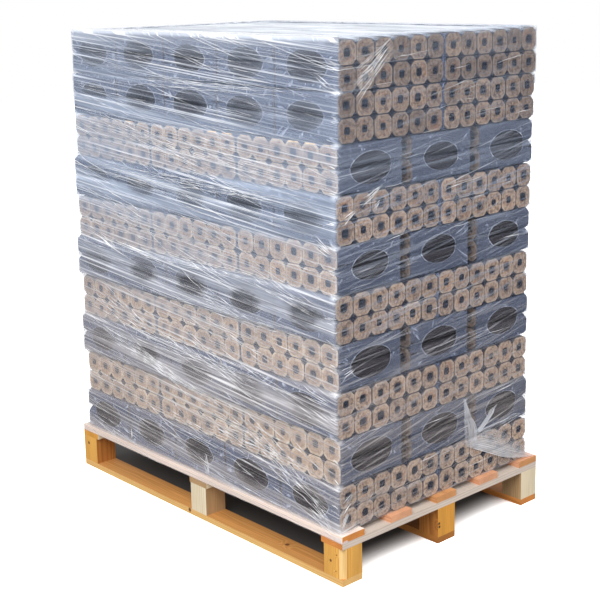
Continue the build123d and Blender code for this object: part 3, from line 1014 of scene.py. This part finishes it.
def addRibbon(points, faces, face, start, end, width, rng):
    # one crease: a low ridge between two points of a face, tapered to both ends
    start, end = np.array(start), np.array(end)
    length = math.dist(start, end)
    count = max(8, int(length / folds["step"]))
    share = np.linspace(0, 1, count)
    phase, otherPhase = rng.uniform(0, 7), rng.uniform(0, 7)
    wander = np.sin(share * length * 40 + phase) + 0.6 * np.sin(share * length * 95 + otherPhase)
    taper = np.sin(share * math.pi) ** 0.6 * (0.7 + 0.3 * np.sin(share * length * 60 + otherPhase))
    direction = (end - start) / length
    faces.extend(gridFaces(4, count, len(points)))
    for offset, lift in ((-0.5, 0), (-0.12, 1), (0.12, 1), (0.5, 0)):
        aside = folds["wander"] * wander + offset * width * taper
        flat = start + np.outer(share * length, direction) + np.outer(aside, (-direction[1], direction[0]))
        place, out = onFace(face, flat[:, 0], flat[:, 1])
        points.extend(place + out * (folds["lift"] + lift * folds["height"] * taper)[:, None])


def makeFoldsAndGlints():
    rng = random.Random(41)
    points, faces = [], []
    for face in ("front", "right"):
        for start, end, number, spread in folds[face]:
            start, end = np.array(start), np.array(end)
            for i in range(number):
                shift = (i / max(1, number - 1) - 0.5) * spread + rng.uniform(-1, 1) * 0.003
                low, high = rng.uniform(0, 0.25), rng.uniform(0.75, 1)
                first = start + (end - start) * low + (0, shift)
                last = start + (end - start) * high + (0, shift * rng.uniform(0.2, 0.8))
                addRibbon(points, faces, face, first, last, rng.uniform(*folds["width"]), rng)
    for face, number, (low, high), (bottom, top), (short, long), slope in folds["scattered"]:
        for i in range(number):
            length = rng.uniform(short, long)
            run = rng.uniform(low, high - length)
            height = rng.uniform(bottom, top)
            steep = slope * rng.uniform(0.3, 1.9)
            if face in ("front", "left"):
                steep *= 1.0 + 2.2 * (height < 0.9) * (rng.random() < 0.4)
            other = height + steep * length
            if bottom - 0.01 < other < topZ - 0.006:
                addRibbon(points, faces, face, (run, height), (run + length, other),
                          rng.uniform(*folds["scatteredWidth"]), rng)
    # painted highlights down the near edge: white ribbons for catches of light, three at each joint and
    # between a layer's two rows
    joints = [z for (low, high), middle in zip(layerBoxes, layerMiddles) for z in (low.z, middle)]
    for joint in np.repeat(joints, 3):
        reach = rng.uniform(0.012, 0.04)
        height = joint + rng.uniform(-0.01, 0.01)
        if height >= folds["lowest"]:
            edge = outlineAt(np.array([height]))[1][0] - 0.004
            addRibbon(points, faces, "front", (edge - reach, height + rng.uniform(0, 0.012)), (edge, height),
                      rng.uniform(*folds["edgeWidth"]), rng)
    return joinLoad(makePiece("stretch_film_folds_and_painted_glints", points, faces, [makeFoldAndGlintMaterial()]))


foldsAndGlintsPiece = makeFoldsAndGlints()
print("folds made,", len(foldsAndGlintsPiece.data.polygons), "faces")


# Tail of the film, knotted and let out to the pallet's corner

tail = {
    "side": 0.004,  # clear of the wound film
    "ridge": 0.001,
    "rows": 60,
    "columns": 70,
    "colour": "#f6f8ff",
    # four strips on the right side, each between two curves given as y, z and how far it stands off, with its
    # haze, its number of ridges and how much clearer it is towards its upper edge
    "strips": (
        ([(0.081, 0.386, 0), (0.083, 0.35, 0.001), (0.086, 0.303, 0.001), (0.095, 0.244, 0)],
         [(0.089, 0.386, 0), (0.109, 0.341, 0.001), (0.138, 0.289, 0.001), (0.147, 0.233, 0)], 0.66, 9, 0.35),
        ([(0.129, 0.282, 0.002), (0.155, 0.296, 0.002), (0.196, 0.324, 0.001), (0.228, 0.338, 0)],
         [(0.144, 0.272, 0.002), (0.168, 0.284, 0.002), (0.212, 0.316, 0.001), (0.23, 0.336, 0)],
         0.62, 4, 0.1),
        ([(0.131, 0.279, 0.003), (0.175, 0.283, 0.003), (0.255, 0.2845, 0.002), (0.3, 0.29, 0.001),
          (0.333, 0.2845, 0)],
         [(0.136, 0.272, 0.003), (0.177, 0.278, 0.003), (0.257, 0.281, 0.002), (0.302, 0.287, 0.001),
          (0.333, 0.282, 0)], 0.6, 2, 0.1),
        ([(0.136, 0.29, 0), (0.229, 0.262, 0.001), (0.298, 0.221, 0.002), (0.355, 0.176, 0.004),
          (0.394, 0.1425, 0.01)],
         [(0.1, 0.243, 0), (0.176, 0.207, 0.001), (0.267, 0.166, 0.002), (0.356, 0.142, 0.004),
          (0.394, 0.1405, 0.01)], 0.74, 14, 0.75),
    ),
}


def makeTailMaterial():
    # loose film in pleats: the ridges white, the hollows between them nearly clear
    material, add = newMaterial("polyethylene film, pleated")
    pleats = add("Attribute", attribute_name="pleats").outputs["Vector"]
    haze = add("SeparateXYZ", {0: pleats}).outputs[2]
    drawn = add("VectorMath", {0: pleats, 1: (60.0, 2.2, 0.0)}, operation="MULTIPLY")
    grain = add("TexNoise", {"Vector": drawn, "Scale": 1.0, "Detail": 2.0})
    alpha = add("MapRange", {0: grain, 1: 0.34, 2: 0.66, 3: 0.45})
    alpha = add("Math", {0: alpha, 1: haze}, operation="MULTIPLY", use_clamp=True)
    shader = add("BsdfPrincipled", {"Base Color": tail["colour"], "Roughness": 0.2, "IOR": 1.5,
                                    "Alpha": alpha})
    add("OutputMaterial", {"Surface": shader})
    return material


def curveThrough(places, count):
    # a smooth line through places, by cubic pieces that pass through each of them
    places = np.array(places, float)
    padded = np.concatenate([[2 * places[0] - places[1]], places, [2 * places[-1] - places[-2]]])
    share = np.linspace(0, len(places) - 1 - 1e-9, count)
    index, t = share.astype(int), (share % 1)[:, None]
    a, b, c, d = (padded[index + i] for i in range(4))
    return 0.5 * (2 * b + (c - a) * t + (2 * a - 5 * b + 4 * c - d) * t ** 2
                  + (3 * b - a - 3 * c + d) * t ** 3)


def makeTail():
    points, faces, pleats = [], [], []
    count = tail["columns"]
    along = np.linspace(0, 1, count)
    for upper, lower, haze, ridges, fade in tail["strips"]:
        top, bottom = curveThrough(upper, count), curveThrough(lower, count)
        narrow = np.minimum(1, np.linalg.norm(top - bottom, axis=1) / 0.03)
        faces.extend(gridFaces(tail["rows"], count, len(points)))
        for share in np.linspace(0, 1, tail["rows"]):
            y, z, off = (top * (1 - share) + bottom * share).T
            ridge = tail["ridge"] * np.sin(share * ridges * 2 * math.pi + 2 * np.sin(along * 5)) * narrow
            points.extend(np.stack([outlineAt(z)[1] + tail["side"] + off + ridge, y, z], -1))
            # clearer towards the upper edge and towards both ends
            left = haze * (1 - fade * smoothStep(0.75, 0.0, share)) * (1 - 0.35 * along)
            left *= 0.35 + 0.65 * smoothStep(0, 0.15, along)
            pleats.extend(np.stack([np.full(count, share * ridges / 18), along, left], -1))
    piece = makePiece("stretch_film_tail", points, faces, [makeTailMaterial()], attributes={"pleats": pleats})
    joinLoad(piece)


makeTail()
print("film's tail made")


# Pallet

pine = {
    "ring": 0.0042,  # a year's growth
    "wander": 0.015,
    "saw": 0.0006,
    "knotPush": 0.008,  # how far rings bend round a knot
    # pale early wood, darker late wood and knots
    "cream": ("#efe2c6", "#d9c096", "#8a5a34"),
    "yellow": ("#e9b257", "#c88432", "#6b3d1c"),
    "amber": ("#e4a443", "#c07c26", "#4c2a12"),
    "butter": ("#edca8c", "#dba85c", "#6b3d1c"),
    "orange": ("#de9148", "#b76a24", "#5d3316"),
    "salmon": ("#e3ab85", "#c9835c", "#7c4a30"),
    "copper": ("#d79c66", "#bb7742", "#7c4a30"),
    "umber": ("#bd7a35", "#8f531c", "#4c2a12"),
    "straw": ("#f0c37e", "#dba352", "#6b3d1c"),
    "caramel": ("#d69b58", "#b67a3a", "#5d3316"),
    "tan": ("#bd9a70", "#9a784c", "#6a4a2c"),
    "rose": ("#f4e2d6", "#e9d0c0", "#8a6048"),
    "ash": ("#dfd1c4", "#c6b2a3", "#80685a"),
}

# kind of wood, kind on some of its faces and which way they face, the way the grain runs, and knots as
# place and radius in metres; on the blocks that other kind is painted shade on faces in the pallet's shade,
# and a painted highlight on the near block's cut corner; on the boards it colours their ends or top faces
timbers = {
    "deck_board_1": ("rose", "orange", "along", "X", []),
    "deck_board_2": ("salmon", "salmon", "along", "X", []),
    "deck_board_3": ("copper", "copper", "along", "X", []),
    "deck_board_4": ("salmon", "salmon", "along", "X", []),
    "deck_board_5": ("salmon", "copper", "along", "X", []),
    "stringer_board_1": ("cream", "amber", "along", "Y", []),
    "stringer_board_2": ("cream", "tan", "along", "Y", []),
    "stringer_board_3": ("ash", "orange", "along", "Y", []),
    "bottom_board_front": ("straw", "caramel", "up", "X", [((-0.045, -0.4, 0.012), 0.006),
                                                           ((0.34, -0.36, 0.018), 0.007)]),
    "bottom_board_middle": ("umber", "umber", "up", "X", []),
    "bottom_board_back": ("orange", "umber", "up", "X", []),
    "block_front_left": ("yellow", "umber", "right", "Z", [((-0.575, -0.4, 0.078), 0.005)]),
    "block_front_middle": ("cream", "tan", "right", "Z", []),
    "block_front_right": ("yellow", "butter", "corner", "Z", [((0.555, -0.4, 0.06), 0.004),
                                                              ((0.578, -0.4, 0.082), 0.002),
                                                              ((0.574, -0.4, 0.036), 0.002)]),
    "block_middle_left": ("yellow", "umber", "right", "Z", []),
    "block_middle_middle": ("yellow", "umber", "right", "Z", []),
    "block_middle_right": ("amber", "umber", "front", "Z", [((0.6, -0.03, 0.058), 0.004),
                                                            ((0.6, -0.029, 0.048), 0.004)]),
    "block_back_left": ("cream", "tan", "front", "Z", []),
    "block_back_middle": ("yellow", "umber", "front", "Z", []),
    "block_back_right": ("cream", "tan", "front", "Z", []),
}
facings = {"right": (1, 0, 0), "front": (0, -1, 0), "up": (0, 0, 1), "corner": (0.7071, -0.7071, 0)}


def makeTimberMaterial(name, kind, otherKind, faces, grain, knots, rng):
    # sawn softwood: growth rings round a pith line beside the piece, darker late wood, fine saw marks
    low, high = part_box(name)
    material, add = newMaterial(f"sawn pine, {kind}, {name}")
    place = add("TexCoord").outputs["Object"]
    pith = [centre + rng.uniform(-1, 1) * 0.05 + 0.03 for centre in (low + high) / 2]
    # each by its values along the grain and across it: waves and fibres per metre, section, way of the grain
    pairs = ((2.2, 26.0), (16.0, 520.0), (0.0, 1.0), (1.0, 0.0))
    wave, fibre, section, grainWay = (tuple(along if axis == grain else across for axis in "XYZ")
                                      for along, across in pairs)
    bend = add("VectorMath", {0: place, 1: wave}, operation="MULTIPLY")
    bend = add("TexNoise", {"Vector": bend, "Scale": 1.0, "Detail": 2.0})
    fromPith = add("VectorMath", {0: place, 1: pith}, operation="SUBTRACT")
    fromPith = add("VectorMath", {0: fromPith, 1: section}, operation="MULTIPLY")
    fromPith = add("VectorMath", {0: fromPith}, operation="LENGTH")
    radius = add("Math", {0: bend, 1: pine["wander"], 2: fromPith}, operation="MULTIPLY_ADD")
    knotShare = 0.0
    for spot, size in knots:
        away = add("VectorMath", {0: place, 1: spot}, operation="DISTANCE")
        share = add("MapRange", {0: away, 1: size * 0.7, 2: size * 1.25, 3: 1.0, 4: 0.0})
        push = add("MapRange", {0: away, 1: 0.0, 2: size * 4.0, 3: pine["knotPush"], 4: 0.0})
        radius = add("Math", {0: radius, 1: push}, operation="ADD")
        knotShare = add("Math", {0: share, 1: knotShare}, operation="MAXIMUM")
    ring = add("Math", {0: radius, 1: 1 / pine["ring"]}, operation="MULTIPLY")
    ring = add("Math", {0: ring}, operation="FRACT")
    late = add("MapRange", {0: ring, 1: 0.25, 2: 0.95, 4: 0.75})
    fine = add("VectorMath", {0: place, 1: fibre}, operation="MULTIPLY")
    fine = add("TexNoise", {"Vector": fine, "Scale": 1.0, "Detail": 2.0})
    mottle = add("MapRange", {0: fine, 1: 0.3, 2: 0.7, 3: -0.22, 4: 0.22})
    late = add("Math", {0: late, 1: mottle}, operation="ADD", use_clamp=True)
    # the other kind: painted shade on the blocks' shaded faces, a painted highlight on the near block's cut
    # corner, the boards' ends or top faces
    other = add("VectorMath", {0: add("NewGeometry").outputs["Normal"],
                               1: facings.get(faces, grainWay)}, operation="DOT_PRODUCT")
    if faces == "along":
        other = add("Math", {0: other}, operation="ABSOLUTE")
    other = add("Math", {0: other, 1: 0.9}, operation="GREATER_THAN")
    pale, dark = (add("Mix", {"Factor": other, "A": pine[kind][i], "B": pine[otherKind][i]},
                      data_type="RGBA") for i in (0, 1))
    colour = add("Mix", {"Factor": late, "A": pale, "B": dark}, data_type="RGBA")
    patches = add("MapRange", {0: bend, 1: 0.3, 2: 0.7, 3: 1.08, 4: 0.86})
    colour = add("VectorMath", {0: colour, "Scale": patches}, operation="SCALE")
    if knots:
        colour = add("Mix", {"Factor": knotShare, "A": colour, "B": pine[kind][2]}, data_type="RGBA")
    bump = add("Bump", {"Height": fine, "Strength": 0.35, "Distance": pine["saw"]})
    shader = add("BsdfPrincipled", {"Base Color": colour, "Roughness": 0.7, "IOR": 1.5, "Normal": bump})
    add("OutputMaterial", {"Surface": shader})
    return material


def finishPallet():
    rng = random.Random(17)
    for name, timber in timbers.items():
        board = bpy.data.objects[name]
        board.data.materials.clear()
        board.data.materials.append(makeTimberMaterial(name, *timber, rng))


finishPallet()
print("pallet finished")
